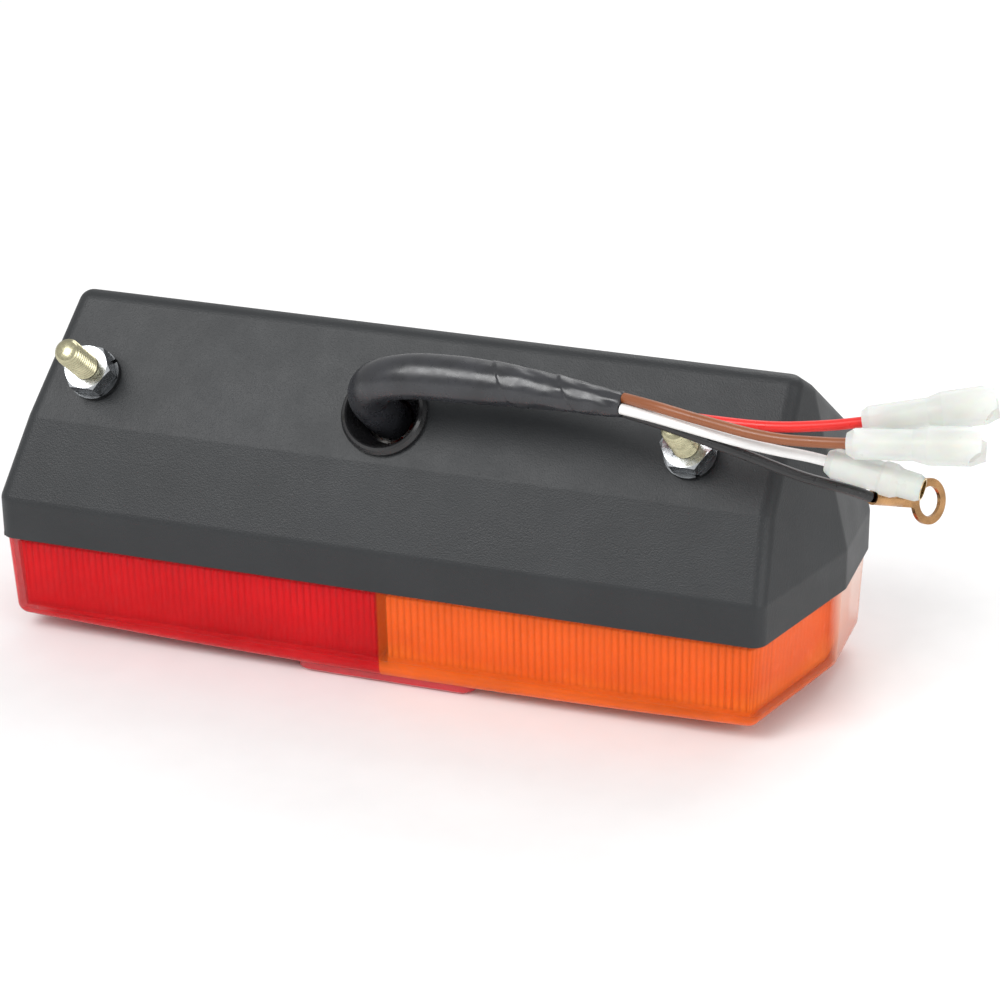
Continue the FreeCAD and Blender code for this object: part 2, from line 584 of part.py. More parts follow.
def bullet_terminal(colour):
    """Crimp barrel and male bullet."""
    body = turned([(0, 0), (1.7, 0), (1.7, 6.0), (1.2, 7.0), (1.2, 8.0), (1.95, 8.8), (1.95, 12.0),
                   (1.5, 12.6), (1.95, 13.4), (1.95, 17.0), (1.2, 18.4), (0, 18.4)])
    return placed(body, end_frame(colour))


def receptacle_terminal():
    """Female tube for a 4 mm bullet, and the crimp barrel it is soldered to."""
    step = 7.0
    barrel = turned([(0, 0), (1.7, 0), (1.7, 5.0), (RECEPTACLE_R, 6.0), (RECEPTACLE_R, step), (0, step)])
    sleeve = tube(RECEPTACLE_R, RECEPTACLE_BORE, V(0, 0, step), V(0, 0, 16.0))
    return [placed(part, end_frame("white")) for part in (sleeve, barrel)]


def ring_place():
    """Placement at the black wire's end: Z along the terminal, X across the ring."""
    return frame_at(route_of("black")[-1], V(*RING_DIRECTION), V(*RING_SIDE))


def ring_terminal():
    """Crimp barrel, neck and flat ring with an M6 eye."""
    half = RING_THICK / 2
    barrel = tube(BARREL_R, BARREL_BORE, V(0, 0, 0.6), V(0, 0, BARREL_LENGTH))
    plug = rod(BARREL_BORE + 0.1, V(0, 0, BARREL_LENGTH - 3), V(0, 0, BARREL_LENGTH))
    neck = box(-BARREL_R, BARREL_R, -half, half, BARREL_LENGTH - 1, RING_CENTRE - RING_R + 1)
    ring = rod(RING_R, V(0, -half, RING_CENTRE), V(0, half, RING_CENTRE))
    eye = rod(RING_HOLE_R, V(0, -2, RING_CENTRE), V(0, 2, RING_CENTRE))
    body = fuse([barrel, plug, neck, ring]).cut(eye)
    place = ring_place()
    hole = place.multVec(V(0, 0, RING_CENTRE))
    print("   ring eye at (%.2f, %.2f, %.2f), axis (%.4f, %.4f, %.4f)" % (
        hole.x, hole.y, hole.z, *(place.Rotation.multVec(V(0, 1, 0)))))
    return placed(body, place)


def inner_leads():
    """Short leads inside the housing, from the sleeve to the sockets and the plate."""
    mouth, second = on_face(*SLEEVE_ROUTE[0]), on_face(*SLEEVE_ROUTE[1])
    spread = 1.3
    place = frame_at(mouth, mouth - second, X_AXIS)
    start = {(sx, sy): place.multVec(V(sx * spread, sy * spread, 0.8)) for sx in (-1, 1) for sy in (-1, 1)}
    tail_back, turn_back = TAIL_MOUTH_X + SHELL_LENGTH, TURN_MOUTH_X - SHELL_LENGTH
    routes = {
        "inner_lead_tail": [start[-1, 1], V(-7.2, -2.0, 48.5), V(-5.6, 0.4, 39.0),
                            V(tail_back - 0.3, 0.5, 34.6)],
        "inner_lead_stop": [start[-1, -1], V(-7.2, 1.8, 49.0), V(-5.6, 3.4, 39.0),
                            V(tail_back - 0.3, 3.5, 34.6)],
        "inner_lead_turn": [start[1, 1], V(0.6, -2.6, 48.5), V(0.6, 1.6, 39.0),
                            V(turn_back + 0.3, 2.0, 34.6)],
        "inner_lead_earth": [start[1, -1], V(-1.0, -1.4, 53.8), V(8.0, 3.0, 52.4)],
    }
    return {name: cord(name, points, WIRE_R) for name, points in routes.items()}


# ---- build ---------------------------------------------------------------------------
def main():
    os.makedirs("parts", exist_ok=True)
    export("housing", [housing()])
    for name, x, slit in (("left", STUD_X[0], 40), ("right", STUD_X[1], -62)):
        export("stud_" + name, [stud(x)])
        export("nut_" + name, [nut(x)])
        export("lock_washer_" + name, [lock_washer(x, slit)])
    export("cable_grommet", [grommet()])

    outer, cavity = lens_outer(), lens_cavity()
    export("lens_red", [lens_half(outer, cavity, -1)])
    export("lens_amber", [lens_half(outer, cavity, 1)])
    export("reflex_reflector", [reflex_reflector(outer)])
    export("lens_seal", [seal_ring()])
    export("lens_screws", lens_screws())

    export("bulb_plate", [bulb_plate()])
    export("plate_screws", plate_screws())
    export("partition", [partition()])
    export("socket_rivets", rivets())
    tail_frame = frame_at(V(TAIL_MOUTH_X, BULB_Y, BULB_Z), X_AXIS, V(0, 1, 0))
    turn_frame = frame_at(V(TURN_MOUTH_X, BULB_Y, BULB_Z), X_AXIS * -1, V(0, 1, 0))
    for name, place, pads, levels in (("tail", tail_frame, (-3.0, 3.0), (-15.0, -19.0)),
                                      ("turn", turn_frame, (0.0,), (-17.0,))):
        export("socket_" + name, [placed(socket_shell(), place)])
        export("bulb_cap_" + name, [placed(bulb_cap(pads), place)])
        export("bulb_glass_" + name, [placed(bulb_glass(), place)])
        export("filament_" + name, [placed(bulb_filament(levels), place)])
        export("contact_carrier_" + name, [placed(contact_carrier(pads), place)])
        export("contact_spring_" + name, [placed(contact_spring(), place)])

    sleeve, taper = cable_sleeve()
    export("cable_sleeve", [sleeve])
    export("sleeve_taped_end", [taper])
    for colour in WIRE_ROUTES:
        export("wire_" + colour, [cord("wire_" + colour, route_of(colour), WIRE_R)])
    for colour in ("red", "brown"):
        export("cover_" + colour, [bullet_cover(colour)])
        export("bullet_" + colour, [bullet_terminal(colour)])
    export("cover_white", [receptacle_cover()])
    tube_part, barrel_part = receptacle_terminal()
    export("receptacle_white", [tube_part])
    export("crimp_barrel_white", [barrel_part])
    export("ring_terminal", [ring_terminal()])
    for name, lead in inner_leads().items():
        export(name, [lead])


main()
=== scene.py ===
"""Looks of the trailer tail light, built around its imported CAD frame.

Metres, in the CAD frame: X towards the amber end, Z up, and the mounting face looks to -Y and up.
"""
import math

import bmesh
import bpy
from mathutils import Matrix, Vector, noise


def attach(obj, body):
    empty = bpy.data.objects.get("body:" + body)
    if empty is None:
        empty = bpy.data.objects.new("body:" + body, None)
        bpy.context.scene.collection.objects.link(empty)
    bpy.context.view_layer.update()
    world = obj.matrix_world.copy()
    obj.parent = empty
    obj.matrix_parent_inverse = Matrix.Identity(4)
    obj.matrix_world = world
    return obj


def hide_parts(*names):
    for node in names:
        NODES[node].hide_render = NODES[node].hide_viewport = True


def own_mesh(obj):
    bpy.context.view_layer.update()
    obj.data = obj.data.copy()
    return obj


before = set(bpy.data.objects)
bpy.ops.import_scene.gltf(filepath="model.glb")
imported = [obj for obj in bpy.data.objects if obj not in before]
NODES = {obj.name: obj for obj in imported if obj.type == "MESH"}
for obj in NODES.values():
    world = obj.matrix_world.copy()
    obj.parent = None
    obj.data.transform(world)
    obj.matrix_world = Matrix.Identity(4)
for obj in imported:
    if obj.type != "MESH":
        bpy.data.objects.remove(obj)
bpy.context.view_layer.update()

MM = 0.001

# ---- the lamp's own dimensions, millimetres ------------------------------------------
HALF_L, HALF_W = 95.0, 29.25
CHAMFER_START, CHAMFER_END = 84.5, 4.55      # x on the near side, y on the amber end
PLAN = [(-HALF_L, -HALF_W), (CHAMFER_START, -HALF_W), (HALF_L, CHAMFER_END),
        (HALF_L, HALF_W), (-HALF_L, HALF_W)]
SPLIT_X = -3.0           # joint between the red and the amber lens
RIM_LOW = 24.5           # height where the lenses meet the housing
FACE_ANGLE = math.radians(50)
CREASE = (-19.75, 51.3)
STUD_X, STUD_SLOPE = (-76.0, 64.0), 11.3
BULB_Y, BULB_Z = 2.0, 34.0
TAIL_MOUTH_X, TURN_MOUTH_X = -30.6, 25.6
UP_SLOPE = Vector((0, math.cos(FACE_ANGLE), math.sin(FACE_ANGLE)))
FACE_NORMAL = Vector((0, -math.sin(FACE_ANGLE), math.cos(FACE_ANGLE)))


def on_face(x, slope, height):
    """Point in metres given along X, up the mounting face, and above it, in millimetres."""
    point = Vector((x, *CREASE)) + UP_SLOPE * slope + FACE_NORMAL * height
    return point * MM


# ---- camera ---------------------------------------------------------------------------
VIEW_ANGLES = (19.368, 24.910, -0.556)       # azimuth, elevation and roll, degrees
CAMERA_AT = (0.231, -0.611, 0.3375)
FOCAL_LENGTH, FILM_WIDTH = 114.58, 36.0


def make_camera():
    """The photograph's view: place, direction and a slight roll."""
    azimuth, elevation, roll = (math.radians(a) for a in VIEW_ANGLES)
    back = Vector((math.sin(azimuth) * math.cos(elevation),
                   -math.cos(azimuth) * math.cos(elevation), math.sin(elevation)))
    right = Vector((math.cos(azimuth), math.sin(azimuth), 0))
    up = back.cross(right)
    across = right * math.cos(roll) + up * math.sin(roll)
    upright = up * math.cos(roll) - right * math.sin(roll)
    data = bpy.data.cameras.new("camera")
    data.lens, data.sensor_width = FOCAL_LENGTH, FILM_WIDTH
    data.clip_start, data.clip_end = 0.05, 20.0
    camera = bpy.data.objects.new("camera", data)
    turn = Matrix((across, upright, back)).transposed().to_4x4()
    camera.matrix_world = Matrix.Translation(CAMERA_AT) @ turn
    bpy.context.scene.collection.objects.link(camera)
    bpy.context.scene.camera = camera


make_camera()


# ---- helpers ----------------------------------------------------------------------------
def add_object(name, data):
    """A new object in the scene that shows the data."""
    piece = bpy.data.objects.new(name, data)
    bpy.context.scene.collection.objects.link(piece)
    return piece


def add_mesh(name, verts, faces):
    """A new smooth-shaded mesh object."""
    data = bpy.data.meshes.new(name)
    data.from_pydata([tuple(v) for v in verts], [], faces)
    data.polygons.foreach_set("use_smooth", [True] * len(data.polygons))
    data.update()
    return add_object(name, data)


def ring_faces(rows, around, closed=True):
    """Quads between rows of equal length."""
    faces = []
    last = around if closed else around - 1
    for i in range(rows - 1):
        for j in range(last):
            k = (j + 1) % around
            a, b = i * around, (i + 1) * around
            faces.append((a + j, a + k, b + k, b + j))
    return faces


def nurbs_cord(name, route, radius):
    """One open NURBS spline through the route's control points."""
    data = bpy.data.curves.new(name, "CURVE")
    data.dimensions = "3D"
    spline = data.splines.new("NURBS")
    spline.points.add(len(route) - 1)
    for point, place in zip(spline.points, route):
        point.co = (*place, 1.0)
        point.radius = radius
    spline.order_u = 3
    spline.use_endpoint_u = True
    spline.resolution_u = 16
    data.bevel_depth = 1.0 if radius else 0.0
    data.bevel_resolution = 8
    data.use_fill_caps = True
    return add_object(name, data)


def centreline(route, name):
    """Points along the smooth line of a route, read from its NURBS spline."""
    probe = nurbs_cord(name, route, 0.0)
    line = bpy.data.meshes.new_from_object(probe)
    points = [v.co.copy() for v in line.vertices]
    bpy.data.objects.remove(probe)
    return points


def evenly(points, step):
    """The same line with equal spacing."""
    out, left = [points[0]], step
    for a, b in zip(points, points[1:]):
        run = (b - a).length
        at = left
        while at <= run:
            out.append(a.lerp(b, at / run))
            at += step
        left = at - run
    out.append(points[-1])
    return out


def frames_along(points):
    """A pair of side directions for each point of a line, without twist."""
    sides = []
    side = (points[1] - points[0]).orthogonal().normalized()
    for i, point in enumerate(points):
        a, b = points[max(i - 1, 0)], points[min(i + 1, len(points) - 1)]
        along = (b - a).normalized()
        side = (side - along * side.dot(along)).normalized()
        sides.append((side, along.cross(side)))
    return sides


# ---- cords ------------------------------------------------------------------------------
SLEEVE = [(-5.6, 11.3, -6.4), (-9.2, 12.2, 4.0), (-6.3, 14.6, 12.2), (2.6, 16.2, 15.6),
          (13.5, 16.8, 15.5), (25.5, 16.8, 16.2), (39.0, 15.9, 17.7), (52.6, 14.6, 19.5)]
WIRES = {
    "white": [(52.7, 13.4, 20.7), (59.4, 12.4, 21.6), (66.6, 11.0, 22.7), (73.7, 9.8, 23.0),
              (81.1, 8.8, 22.9), (88.2, 8.2, 22.6), (93.2, 8.0, 22.5),
              (98.0, 7.5, 22.35), (102.6, 6.8, 22.2)],
    "brown": [(52.9, 15.8, 20.7), (60.0, 14.1, 23.8), (67.4, 12.6, 24.8), (74.8, 11.1, 26.3),
              (82.0, 9.8, 27.4), (89.0, 9.1, 28.2), (95.2, 9.3, 28.7),
              (101.4, 9.7, 28.9), (107.4, 10.3, 29.0)],
    "red": [(53.2, 15.8, 18.3), (59.4, 14.7, 18.7), (66.2, 13.7, 19.5), (73.1, 13.5, 20.0),
            (79.9, 13.5, 20.2), (86.7, 13.9, 20.3), (94.0, 15.1, 20.2),
            (101.1, 16.6, 20.1), (107.7, 18.5, 20.0)],
    "black": [(53.0, 13.4, 18.3), (59.3, 12.2, 19.1), (66.7, 10.3, 20.3), (74.1, 8.6, 20.1),
              (80.7, 7.4, 19.2), (86.9, 6.0, 18.2), (92.9, 4.8, 17.3), (98.5, 4.3, 16.4),
              (102.8, 4.3, 14.2), (105.9, 4.2, 10.9)],
}
WIRE_R = 1.15 * MM
SLEEVE_R = 4.5 * MM
SLEEVE_END_R = 2.5 * MM
SLEEVE_SWELL, SLEEVE_SLACK = 0.5 * MM, 0.16 * MM
SWELL_DONE, DRAW_FROM = 0.030, 0.042         # from the hole along the sleeve
TAPE_START, TAPE_TURN = 0.045, 0.015         # from the hole along the sleeve, and each lap
TAPE_LAP, TAPE_CREASE = 0.22 * MM, 0.20 * MM
SLEEVE_STEP, SLEEVE_AROUND = 0.3, 72         # millimetres between rings, and points round each


def sleeve_radius(s, angle, total):
    """Radius of the sleeve s metres along: swelling under the tape, then drawn in to the wires."""
    swell = SLEEVE_SWELL * min(1.0, s / SWELL_DONE)
    draw = max(0.0, (s - DRAW_FROM) / (total - DRAW_FROM))
    radius = SLEEVE_R + swell + (SLEEVE_END_R - SLEEVE_R - swell) * draw ** 1.15
    around = Vector((0, 2.2 * math.cos(angle), 2.2 * math.sin(angle)))
    slack = noise.noise(around * 0.4 + Vector((s * 55, 0, 0)))
    if s > TAPE_START:
        lap = ((s - TAPE_START) / TAPE_TURN - angle / (2 * math.pi)) % 1.0
        radius += TAPE_LAP * (1.0 - lap) * min(1.0, (s - TAPE_START) / 0.004)
        crease = noise.noise(around + Vector((s * 260, 0, 0)))
        radius += TAPE_CREASE * crease * min(1.0, (s - TAPE_START) / 0.012)
    return radius + SLEEVE_SLACK * slack


def make_sleeve():
    """PVC sleeve and its tape as one tube along the route."""
    line = evenly(centreline([on_face(*p) for p in SLEEVE], "sleeve_line"), SLEEVE_STEP * MM)
    total = SLEEVE_STEP * MM * (len(line) - 1)
    around = SLEEVE_AROUND
    verts = []
    for i, (point, (u, v)) in enumerate(zip(line, frames_along(line))):
        for j in range(around):
            angle = 2 * math.pi * j / around
            radius = sleeve_radius(i * SLEEVE_STEP * MM, angle, total)
            verts.append(point + (u * math.cos(angle) + v * math.sin(angle)) * radius)
    faces = ring_faces(len(line), around)
    faces.append(tuple(reversed(range(around))))
    faces.append(tuple(len(verts) - around + j for j in range(around)))
    piece = add_mesh("cable_sleeve_taped", verts, faces)
    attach(piece, "housing_body")
    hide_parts("cable_sleeve", "sleeve_taped_end")
    return piece


def make_wires():
    """The four leads, which end in the frame's own terminals and covers."""
    wires = {}
    for colour, route in WIRES.items():
        points = [on_face(*p) for p in route]
        piece = nurbs_cord("lead_" + colour, points, WIRE_R)
        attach(piece, "housing_body")
        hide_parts("wire_" + colour)
        wires[colour] = piece
    return wires


sleeve = make_sleeve()
wires = make_wires()


# ---- materials --------------------------------------------------------------------------
class Nodes:
    """A small builder for one material's node tree."""

    def __init__(self, name):
        self.material = bpy.data.materials.new(name)
        self.material.use_nodes = True
        self.tree = self.material.node_tree
        self.shader = next(n for n in self.tree.nodes if n.type == "BSDF_PRINCIPLED")
        self.place = self.add("ShaderNodeTexCoord").outputs["Object"]

    def add(self, kind, **values):
        node = self.tree.nodes.new(kind)
        for key, value in values.items():
            if key in node.inputs:
                node.inputs[key].default_value = value
            else:
                setattr(node, key, value)
        return node

    def link(self, source, target):
        self.tree.links.new(source, target)

    def noise(self, scale, detail=3.0, stretch=None):
        node = self.add("ShaderNodeTexNoise", Scale=scale, Detail=detail)
        source = self.place
        if stretch:
            mapping = self.add("ShaderNodeMapping", Scale=stretch)
            self.link(source, mapping.inputs["Vector"])
            source = mapping.outputs["Vector"]
        self.link(source, node.inputs["Vector"])
        return node.outputs["Fac"]

    def spread(self, source, low, high, start=0.3, end=0.7):
        node = self.add("ShaderNodeMapRange")
        for key, value in (("From Min", start), ("From Max", end), ("To Min", low), ("To Max", high)):
            node.inputs[key].default_value = value
        self.link(source, node.inputs["Value"])
        return node.outputs["Result"]

    def ramp(self, source, stops):
        node = self.add("ShaderNodeValToRGB")
        elements = node.color_ramp.elements
        while len(elements) < len(stops):
            elements.new(0.5)
        for element, (place, colour) in zip(elements, stops):
            element.position = place
            element.color = (*colour[:3], 1.0)
        self.link(source, node.inputs["Fac"])
        return node.outputs["Color"]

    def mix(self, factor, a, b):
        node = self.add("ShaderNodeMix", data_type="RGBA")
        self.link(factor, node.inputs["Factor"])
        for socket, value in ((node.inputs[6], a), (node.inputs[7], b)):
            if isinstance(value, tuple):
                socket.default_value = (*value, 1.0)
            else:
                self.link(value, socket)
        return node.outputs[2]

    def larger(self, a, b):
        node = self.add("ShaderNodeMath", operation="MAXIMUM")
        self.link(a, node.inputs[0])
        self.link(b, node.inputs[1])
        return node.outputs[0]

    def axis(self, letter):
        node = self.add("ShaderNodeSeparateXYZ")
        self.link(self.place, node.inputs["Vector"])
        return node.outputs[letter]

    def bump(self, source, strength, distance):
        node = self.add("ShaderNodeBump", Strength=strength, Distance=distance)
        self.link(source, node.inputs["Height"])
        previous = self.shader.inputs["Normal"]
        if previous.is_linked:
            self.link(previous.links[0].from_socket, node.inputs["Normal"])
        self.link(node.outputs["Normal"], previous)


def shade(base, factor):
    """A colour made darker or lighter."""
    return tuple(min(1.0, c * factor) for c in base[:3])


def finish_material(name, base, rough, metallic=0.0, variation=0.12, blotch=90.0, grain=2600.0,
                    grain_strength=0.25, grain_depth=0.05, stretch=None, rough_spread=0.08, **sockets):
    """Base colour with soft blotches, uneven roughness and a fine surface grain."""
    kit = Nodes(name)
    cloud = kit.noise(blotch, 4.0)
    stops = [(0.32, shade(base, 1 - variation)), (0.68, shade(base, 1 + variation))]
    kit.link(kit.ramp(cloud, stops), kit.shader.inputs["Base Color"])
    rough_noise = kit.noise(blotch * 3.1, 5.0, stretch)
    kit.link(kit.spread(rough_noise, rough - rough_spread, rough + rough_spread),
             kit.shader.inputs["Roughness"])
    kit.bump(kit.noise(grain, 2.0, stretch), grain_strength, grain_depth * MM)
    kit.shader.inputs["Metallic"].default_value = metallic
    for key, value in sockets.items():
        kit.shader.inputs[key.replace("_", " ")].default_value = value
    return kit


def dress(material, *names):
    """Give a material to CAD nodes, by name, or to pieces."""
    for name in names:
        piece = NODES[name] if isinstance(name, str) else name
        if piece.type == "MESH" and len(piece.material_slots):
            for slot in piece.material_slots:
                slot.material = material
        else:
            piece.data.materials.append(material)


def housing_material():
    """Spark-textured black plastic, a little scuffed, with the grain visible up close."""
    kit = finish_material("black_moulding", (0.019, 0.021, 0.023), 0.46, grain=3000, grain_strength=0.8,
                          grain_depth=0.11, variation=0.10, blotch=45, rough_spread=0.03,
                          Specular_IOR_Level=0.42)
    kit.bump(kit.noise(1300, 3.0), 0.25, 0.08 * MM)
    return kit.material


AMBER_END, RED_END = (0.0925, 0.0943), (-0.0943, -0.0935)     # x where the walls turn pale
FRONT_EDGE, RED_SIDE = (0.0050, 0.0080), (-0.0930, -0.0905)   # z and x where they grow dense
DENSE_ALPHA = 0.86


def lens_material(name, base, pale, alpha, amber):
    """Clear coloured wall: pale at the lamp's end, and dense there and along the front edge."""
    kit = Nodes(name)
    cloud = kit.noise(70, 3.0)
    colour = kit.ramp(cloud, [(0.3, shade(base, 0.9)), (0.7, shade(base, 1.1))])
    x = kit.axis("X")
    if amber:
        edge = kit.spread(x, 0.0, 1.0, *AMBER_END)
    else:
        edge = kit.spread(x, 1.0, 0.0, *RED_END)
    kit.link(kit.mix(edge, colour, pale), kit.shader.inputs["Base Color"])
    low_edge = kit.spread(kit.axis("Z"), 1.0, 0.0, *FRONT_EDGE)
    if not amber:
        low_edge = kit.larger(low_edge, kit.spread(x, 1.0, 0.0, *RED_SIDE))
    dense = kit.larger(edge, low_edge)
    kit.link(kit.spread(dense, alpha, DENSE_ALPHA, 0.0, 1.0), kit.shader.inputs["Alpha"])
    kit.link(kit.spread(kit.noise(220, 4.0), 0.06, 0.14), kit.shader.inputs["Roughness"])
    kit.bump(kit.noise(60, 2.0), 0.05, 0.2 * MM)
    kit.shader.inputs["IOR"].default_value = 1.49
    kit.shader.inputs["Specular IOR Level"].default_value = 0.28
    return kit.material


def optics_material(name, low, middle, high, dark):
    """Fluted inner wall: colour changes from the front edge up, with painted shade along the flutes' hollows
    and a faint painted glow.
    """
    kit = Nodes(name)
    height = kit.spread(kit.axis("Z"), 0.0, 1.0, LINER_LOW * MM, LINER_TOP * MM)
    wander = kit.spread(kit.noise(42, 3.0), -0.22, 0.22)
    total = kit.add("ShaderNodeMath", operation="ADD")
    kit.link(height, total.inputs[0])
    kit.link(wander, total.inputs[1])
    colour = kit.ramp(total.outputs[0], [(0.05, low), (0.42, middle), (0.8, high)])
    # Painted shade: the stored flute mask, made uneven along its length, darkens the colour in the flutes'
    # hollows.
    groove_shade = kit.add("ShaderNodeAttribute", attribute_name="groove_shade").outputs["Fac"]
    uneven = kit.add("ShaderNodeMath", operation="MULTIPLY")
    kit.link(groove_shade, uneven.inputs[0])
    kit.link(kit.spread(kit.noise(160, 2.0, (1.0, 1.0, 0.3)), 0.45, 1.0), uneven.inputs[1])
    shaded_colour = kit.mix(uneven.outputs[0], colour, dark)
    kit.link(shaded_colour, kit.shader.inputs["Base Color"])
    kit.link(kit.spread(kit.noise(300, 3.0), 0.16, 0.30), kit.shader.inputs["Roughness"])
    kit.bump(kit.noise(500, 2.0), 0.1, 0.1 * MM)
    # Painted light: a faint glow in the lining's own shaded colour.
    kit.link(shaded_colour, kit.shader.inputs["Emission Color"])
    kit.shader.inputs["Emission Strength"].default_value = 0.24
    kit.shader.inputs["Specular IOR Level"].default_value = 0.15
    return kit.material


def thread_material():
    """Yellow zinc plating on steel."""
    return finish_material("yellow_zinc", (0.50, 0.47, 0.31), 0.27, metallic=1.0, variation=0.18, blotch=420,
                           grain=5200, grain_strength=0.12, grain_depth=0.02).material


# ---- lens optics --------------------------------------------------------------------------
FLUTE_PITCH, FLUTE_DEPTH, FLUTE_STEP = 1.6, 0.45, 0.2
LINER_INSET, LINER_LOW, LINER_TOP = 3.1, 4.5, 22.0
LENS_CROWN, LENS_DRAFT = 2.0, 0.04
DIMPLE_RISE, DIMPLE_PITCH = 5.0, 1.3
LINER_CORNER, CORNER_STEPS = 1.5, 10
SPLIT_GAP = 1.4          # from the joint to each lining
FACET_X, FACET_Y = 85.0, 4.0
FLUTE_ROWS = 72
FLOOR_STEPS, FLOOR_INSET = (0.05, 1.0, 2.0, 3.5, 5.0), 1.2


def inset_plan(inset):
    """Corners of the lamp's outline moved inwards."""
    lines = []
    count = len(PLAN)
    for i in range(count):
        a, b = Vector(PLAN[i]), Vector(PLAN[(i + 1) % count])
        along = (b - a).normalized()
        inward = Vector((-along.y, along.x))
        lines.append((a + inward * inset, along))
    corners = []
    for (p, d), (q, e) in zip(lines[-1:] + lines[:-1], lines):
        cross = d.x * e.y - d.y * e.x
        t = ((q.x - p.x) * e.y - (q.y - p.y) * e.x) / cross
        corners.append(p + d * t)
    return corners


def rounded_loop(inset, radius, step):
    """Evenly spaced points round the outline, with rounded corners, and the inward normals."""
    corners = inset_plan(inset)
    count = len(corners)
    path = []
    for i in range(count):
        before, at, after = corners[i - 1], corners[i], corners[(i + 1) % count]
        d0, d1 = (at - before).normalized(), (after - at).normalized()
        turn = d0.angle(d1)
        reach = radius * math.tan(turn / 2)
        centre = at - d0 * reach + Vector((-d0.y, d0.x)) * radius
        start = math.atan2(-d0.x, d0.y)
        for k in range(CORNER_STEPS + 1):
            angle = start + turn * k / CORNER_STEPS
            path.append(centre + Vector((math.cos(angle), math.sin(angle))) * radius)
    path.append(path[0].copy())
    flat = evenly([Vector((p.x, p.y, 0)) for p in path], step)[:-1]
    loop = []
    for i, p in enumerate(flat):
        along = (flat[(i + 1) % len(flat)] - flat[i - 1]).normalized()
        loop.append((p, Vector((-along.y, along.x, 0))))
    return loop


def fluted_wall(name, side):
    """Lining of one lens: upright flutes, dimples near the front edge, and a floor across it; it also carries
    the painted shade for its flutes.
    """
    loop = rounded_loop(LINER_INSET, LINER_CORNER, FLUTE_STEP)
    middle = SPLIT_X + side * SPLIT_GAP
    start = next(i for i in range(len(loop)) if (loop[i][0].x - middle) * side > 0
                 and (loop[i - 1][0].x - middle) * side <= 0)
    loop = loop[start:] + loop[:start]
    loop = [entry for entry in loop if (entry[0].x - middle) * side > 0]
    rows = [(k / (FLUTE_ROWS - 1), 0.0, 0.0) for k in range(FLUTE_ROWS)]
    rows += [(1.0, step, FLOOR_INSET) for step in FLOOR_STEPS]
    verts, groove_shades = [], []
    for share, above, extra in rows:
        for k, (p, inward) in enumerate(loop):
            low = LINER_LOW + LENS_CROWN * (p.x / HALF_L) ** 2
            z = low + share * (LINER_TOP - low) + above
            facet = p.x > FACET_X and p.y < FACET_Y       # flutes are shallow on the slanted side
            wave = (1 - math.cos(2 * math.pi * k * FLUTE_STEP / FLUTE_PITCH)) / 2
            strength = 0.25 if facet else 1.0
            # Painted shade for the flutes' hollows, weaker across the dimples; on the red lining it fades
            # towards the front edge.
            groove_shade = wave ** 3 * strength
            if z < low + DIMPLE_RISE:
                dimple = (1 + math.cos(2 * math.pi * (z - low) / DIMPLE_PITCH)) / 2
                groove_shade *= 1 - 0.75 * dimple * (1 - wave)
            fade = 0.25 + 0.75 * share
            groove_shades.append(groove_shade * (fade if side < 0 else 1.0))
            shift = inward * (FLUTE_DEPTH * wave * strength + extra + LENS_DRAFT * (RIM_LOW - z))
            verts.append(Vector((p.x + shift.x, p.y + shift.y, z)) * MM)
    faces = ring_faces(len(rows), len(loop), closed=False)
    faces.append(tuple(range(len(loop))))
    piece = add_mesh(name, verts, faces)
    # The painted shade is stored on the points for the lining's material.
    layer = piece.data.attributes.new("groove_shade", "FLOAT", "POINT")
    layer.data.foreach_set("value", groove_shades)
    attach(piece, "lens_body")
    return piece


# ---- threads ------------------------------------------------------------------------------
STUD_LOW, STUD_TIP, STUD_CHAMFER = -2.5, 18.1, 0.7      # heights above the mounting face
THREAD_PITCH, THREAD_R, CORE_R, FLANK = 1.0, 3.0, 2.5, 1.15
THREAD_STEP, THREAD_AROUND = 0.1, 56
STUD_HEAD, STUD_HEAD_THICK, HEAD_EDGE = 10.0, 2.5, 0.4


def thread_verts(x):
    """Rows of a helical thread about a stud's axis, drawn in to a chamfer at its tip."""
    side = Vector((1, 0, 0))
    low, high, around = STUD_LOW, STUD_TIP, THREAD_AROUND
    verts, rows = [], int((high - low) / THREAD_STEP) + 1
    for i in range(rows):
        h = low + (high - low) * i / (rows - 1)
        limit = THREAD_R if h < high - STUD_CHAMFER else THREAD_R - (h - high + STUD_CHAMFER)
        for j in range(around):
            angle = 2 * math.pi * j / around
            phase = (h / THREAD_PITCH - j / around) % 1.0
            tooth = abs(phase * 2 - 1)
            radius = min(CORE_R + (THREAD_R - CORE_R) * min(1.0, tooth * FLANK), limit)
            spoke = side * math.cos(angle) + UP_SLOPE * math.sin(angle)
            verts.append(on_face(x, STUD_SLOPE, h) + spoke * radius * MM)
    return verts, rows


def make_stud(side_name, x):
    """Threaded stud with a square head under the housing's wall."""
    verts, rows = thread_verts(x)
    around = THREAD_AROUND
    faces = ring_faces(rows, around)
    faces.append(tuple((rows - 1) * around + j for j in range(around)))
    faces.append(tuple(reversed(range(around))))
    piece = add_mesh("threaded_stud_" + side_name, verts, faces)
    head = bmesh.new()
    bmesh.ops.create_cube(head, size=1.0)
    turn = Matrix((Vector((1, 0, 0)), UP_SLOPE, FACE_NORMAL)).transposed().to_4x4()
    scale = Matrix.Diagonal((STUD_HEAD * MM, STUD_HEAD * MM, STUD_HEAD_THICK * MM, 1))
    middle = on_face(x, STUD_SLOPE, STUD_LOW - STUD_HEAD_THICK / 2)
    bmesh.ops.transform(head, matrix=Matrix.Translation(middle) @ turn @ scale, verts=head.verts)
    bmesh.ops.bevel(head, geom=head.edges[:], offset=HEAD_EDGE * MM, segments=2, affect="EDGES")
    head.from_mesh(piece.data)
    head.to_mesh(piece.data)
    head.free()
    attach(piece, "housing_body")
    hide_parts("stud_" + side_name)
    return piece


